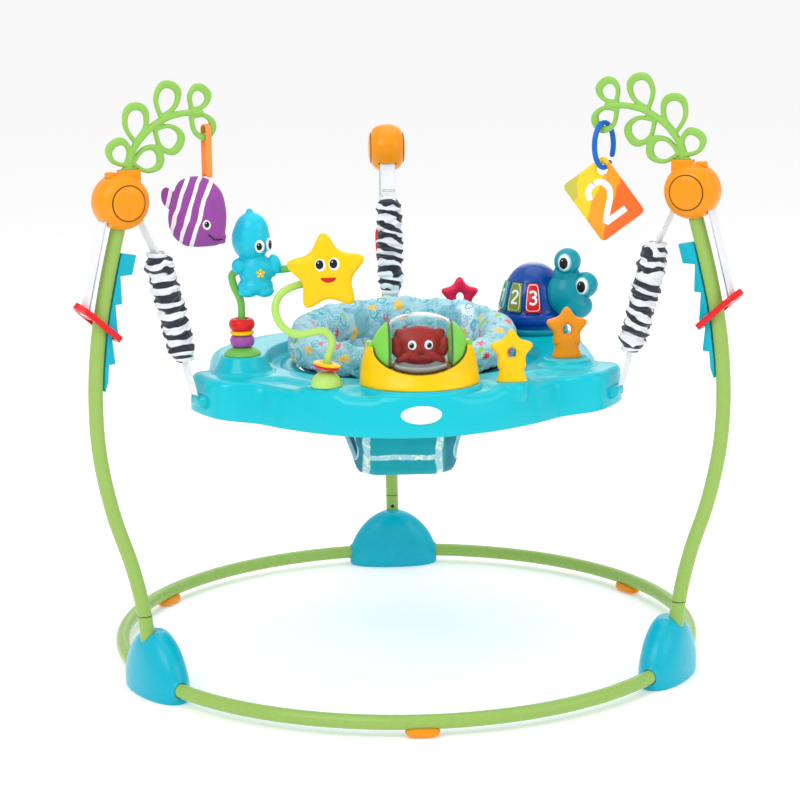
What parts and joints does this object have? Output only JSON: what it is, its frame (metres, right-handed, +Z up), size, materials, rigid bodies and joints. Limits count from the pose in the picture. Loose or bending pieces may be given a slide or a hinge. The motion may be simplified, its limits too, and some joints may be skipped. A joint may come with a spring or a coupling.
{
  "type": "baby activity jumper",
  "caption": "Activity jumper for a baby: a toy tray with a padded turning seat hung on sprung straps from a post frame, with leaf-shaped toy arms.",
  "frame": {"origin": "middle of the whole object's footprint, on the floor", "axes": "+Z up; the front of the tray, with the roller, faces -Y; +X to the right seen from the front"},
  "size_m": [0.9402, 0.9908, 0.8867],
  "materials": {
    "lime_paint": "gloss lime-green powder coat on steel tube",
    "teal_plastic": "gloss moulded plastic, teal",
    "turquoise_plastic": "gloss moulded plastic, turquoise",
    "orange_plastic": "gloss moulded plastic, orange",
    "red_plastic": "gloss moulded plastic, red",
    "leaf_green_plastic": "satin moulded plastic, leaf green",
    "yellow_plastic": "gloss moulded plastic, yellow",
    "purple_plastic": "gloss moulded plastic, purple",
    "dark_blue_plastic": "gloss moulded plastic, dark blue",
    "sky_blue_plastic": "gloss moulded plastic, sky blue",
    "key_green_plastic": "gloss printed key, sea green",
    "key_olive_plastic": "gloss printed key, olive",
    "key_red_plastic": "gloss printed key, dark red",
    "clear_plastic": "clear moulded plastic",
    "webbing": "white woven strap",
    "orange_webbing": "orange woven strap",
    "zebra_fabric": "gathered black and white striped fabric",
    "print_fabric": "padded light-blue printed fabric",
    "teal_fabric": "teal woven fabric",
    "spring_steel": "bare spring steel",
    "card_print": "laminated card in warm colours"
  },
  "bodies": {
    "frame": {"base_tube_front": "lime_paint", "base_tube_right": "lime_paint", "base_tube_left": "lime_paint", "foot_left": "teal_plastic", "post_left": "lime_paint", "height_rack_left": "teal_plastic", "hub_left": "orange_plastic", "suspension_strap_left": "webbing", "bounce_spring_left": "spring_steel", "spring_sleeve_left": "zebra_fabric", "foot_right": "teal_plastic", "post_right": "lime_paint", "height_rack_right": "teal_plastic", "hub_right": "orange_plastic", "suspension_strap_right": "webbing", "bounce_spring_right": "spring_steel", "spring_sleeve_right": "zebra_fabric", "foot_back": "teal_plastic", "post_back": "lime_paint", "height_rack_back": "teal_plastic", "hub_back": "orange_plastic", "suspension_strap_back": "webbing", "bounce_spring_back": "spring_steel", "spring_sleeve_back": "zebra_fabric", "leaf_arm_left": "leaf_green_plastic", "leaf_arm_right": "leaf_green_plastic"},
    "clip_left": {"height_clip_left": "red_plastic"},
    "clip_right": {"height_clip_right": "red_plastic"},
    "clip_back": {"height_clip_back": "red_plastic"},
    "latch_left": {"arm_latch_left": "orange_plastic"},
    "latch_right": {"arm_latch_right": "orange_plastic"},
    "tray": {"tray_shell": "turquoise_plastic", "bead_tube": "leaf_green_plastic", "bead_base_left": "leaf_green_plastic", "bead_base_front": "leaf_green_plastic", "star_figure": "yellow_plastic", "roller_housing": "yellow_plastic", "star_peg_yellow": "yellow_plastic", "star_peg_orange": "orange_plastic", "star_peg_red": "red_plastic", "turtle_shell": "dark_blue_plastic", "turtle_head": "teal_plastic"},
    "seat": {"seat_ring": "turquoise_plastic", "seat_collar": "print_fabric", "seat_pouch": "teal_fabric"},
    "roller": {"roller_window": "clear_plastic", "roller_caps": "leaf_green_plastic", "roller_crab": "red_plastic"},
    "bead_purple": {"bead_purple": "purple_plastic"},
    "bead_yellow": {"bead_yellow": "yellow_plastic"},
    "bead_red": {"bead_red": "red_plastic"},
    "bead_disc": {"bead_disc": "yellow_plastic"},
    "sea_figure": {"sea_figure": "sky_blue_plastic"},
    "key_1": {"turtle_key_1": "key_green_plastic"},
    "key_2": {"turtle_key_2": "key_olive_plastic"},
    "key_3": {"turtle_key_3": "key_red_plastic"},
    "fish": {"fish_toy": "purple_plastic", "fish_strap": "orange_webbing"},
    "link": {"toy_link": "dark_blue_plastic"},
    "card": {"number_card": "card_print"}
  },
  "joints": [
    {"name": "tray_bounce", "type": "slide", "parent": "frame", "child": "tray", "axis": [0, 0, 1], "range_m": [-0.1, 0.04], "stiffness_N_per_m": 600, "springref_m": 0.0306, "deforming": ["bounce_spring_left", "spring_sleeve_left", "bounce_spring_right", "spring_sleeve_right", "bounce_spring_back", "spring_sleeve_back"]},
    {"name": "seat_spin", "type": "hinge", "parent": "tray", "child": "seat", "pos_m": [0, -0.0554, 0.444], "axis": [0, 0, 1], "continuous": true},
    {"name": "roller_spin", "type": "hinge", "parent": "tray", "child": "roller", "pos_m": [0.008, -0.3074, 0.516], "axis": [1, 0, 0], "continuous": true},
    {"name": "key_1_press", "type": "slide", "parent": "tray", "child": "key_1", "axis": [0.9372, 0.2511, -0.2419], "range_m": [0, 0.002], "stiffness_N_per_m": 200, "springref_m": -0.002},
    {"name": "key_2_press", "type": "slide", "parent": "tray", "child": "key_2", "axis": [0.6366, 0.7323, -0.2419], "range_m": [0, 0.002], "stiffness_N_per_m": 200, "springref_m": -0.002},
    {"name": "key_3_press", "type": "slide", "parent": "tray", "child": "key_3", "axis": [0.1183, 0.9631, -0.2419], "range_m": [0, 0.002], "stiffness_N_per_m": 200, "springref_m": -0.002},
    {"name": "sea_figure_rock", "type": "hinge", "parent": "tray", "child": "sea_figure", "pos_m": [-0.2145, -0.1734, 0.606], "axis": [1, 0, 0], "range_deg": [-40, 40]},
    {"name": "bead_purple_slide", "type": "slide", "parent": "tray", "child": "bead_purple", "axis": [0, 0, 1], "range_m": [0, 0.007]},
    {"name": "bead_yellow_slide", "type": "slide", "parent": "bead_purple", "child": "bead_yellow", "axis": [0, 0, 1], "range_m": [0, 0.007]},
    {"name": "bead_red_slide", "type": "slide", "parent": "bead_yellow", "child": "bead_red", "axis": [0, 0, 1], "range_m": [0, 0.007]},
    {"name": "bead_disc_spin", "type": "hinge", "parent": "tray", "child": "bead_disc", "pos_m": [-0.119, -0.2994, 0.487], "axis": [0.1736, 0, 0.9848], "continuous": true},
    {"name": "height_clip_left_tilt", "type": "hinge", "parent": "frame", "child": "clip_left", "pos_m": [-0.41665, -0.28595, 0.53134], "axis": [0.5, -0.866, 0], "range_deg": [0, 25], "stiffness_Nm_per_rad": 0.1, "springref_deg": -20.05},
    {"name": "height_clip_right_tilt", "type": "hinge", "parent": "frame", "child": "clip_right", "pos_m": [0.41665, -0.28595, 0.53134], "axis": [0.5, 0.866, 0], "range_deg": [0, 25], "stiffness_Nm_per_rad": 0.1, "springref_deg": -20.05},
    {"name": "height_clip_back_tilt", "type": "hinge", "parent": "frame", "child": "clip_back", "pos_m": [0, 0.43571, 0.53134], "axis": [-1, 0, 0], "range_deg": [0, 25], "stiffness_Nm_per_rad": 0.1, "springref_deg": -20.05},
    {"name": "arm_latch_left_press", "type": "slide", "parent": "frame", "child": "latch_left", "axis": [0, 0, -1], "range_m": [0, 0.003], "stiffness_N_per_m": 300, "springref_m": -0.003},
    {"name": "arm_latch_right_press", "type": "slide", "parent": "frame", "child": "latch_right", "axis": [0, 0, -1], "range_m": [0, 0.003], "stiffness_N_per_m": 300, "springref_m": -0.003},
    {"name": "fish_swing", "type": "hinge", "parent": "frame", "child": "fish", "pos_m": [-0.28232, -0.2084, 0.803], "axis": [-0.866, -0.5, 0], "range_deg": [-20, 20]},
    {"name": "link_swing", "type": "hinge", "parent": "frame", "child": "link", "pos_m": [0.28406, -0.2094, 0.803], "axis": [0.866, -0.5, 0], "range_deg": [-15, 15]},
    {"name": "card_swing", "type": "hinge", "parent": "link", "child": "card", "pos_m": [0.28506, -0.2094, 0.75], "axis": [0.766, 0.6428, 0], "range_deg": [-20, 20]}
  ]
}
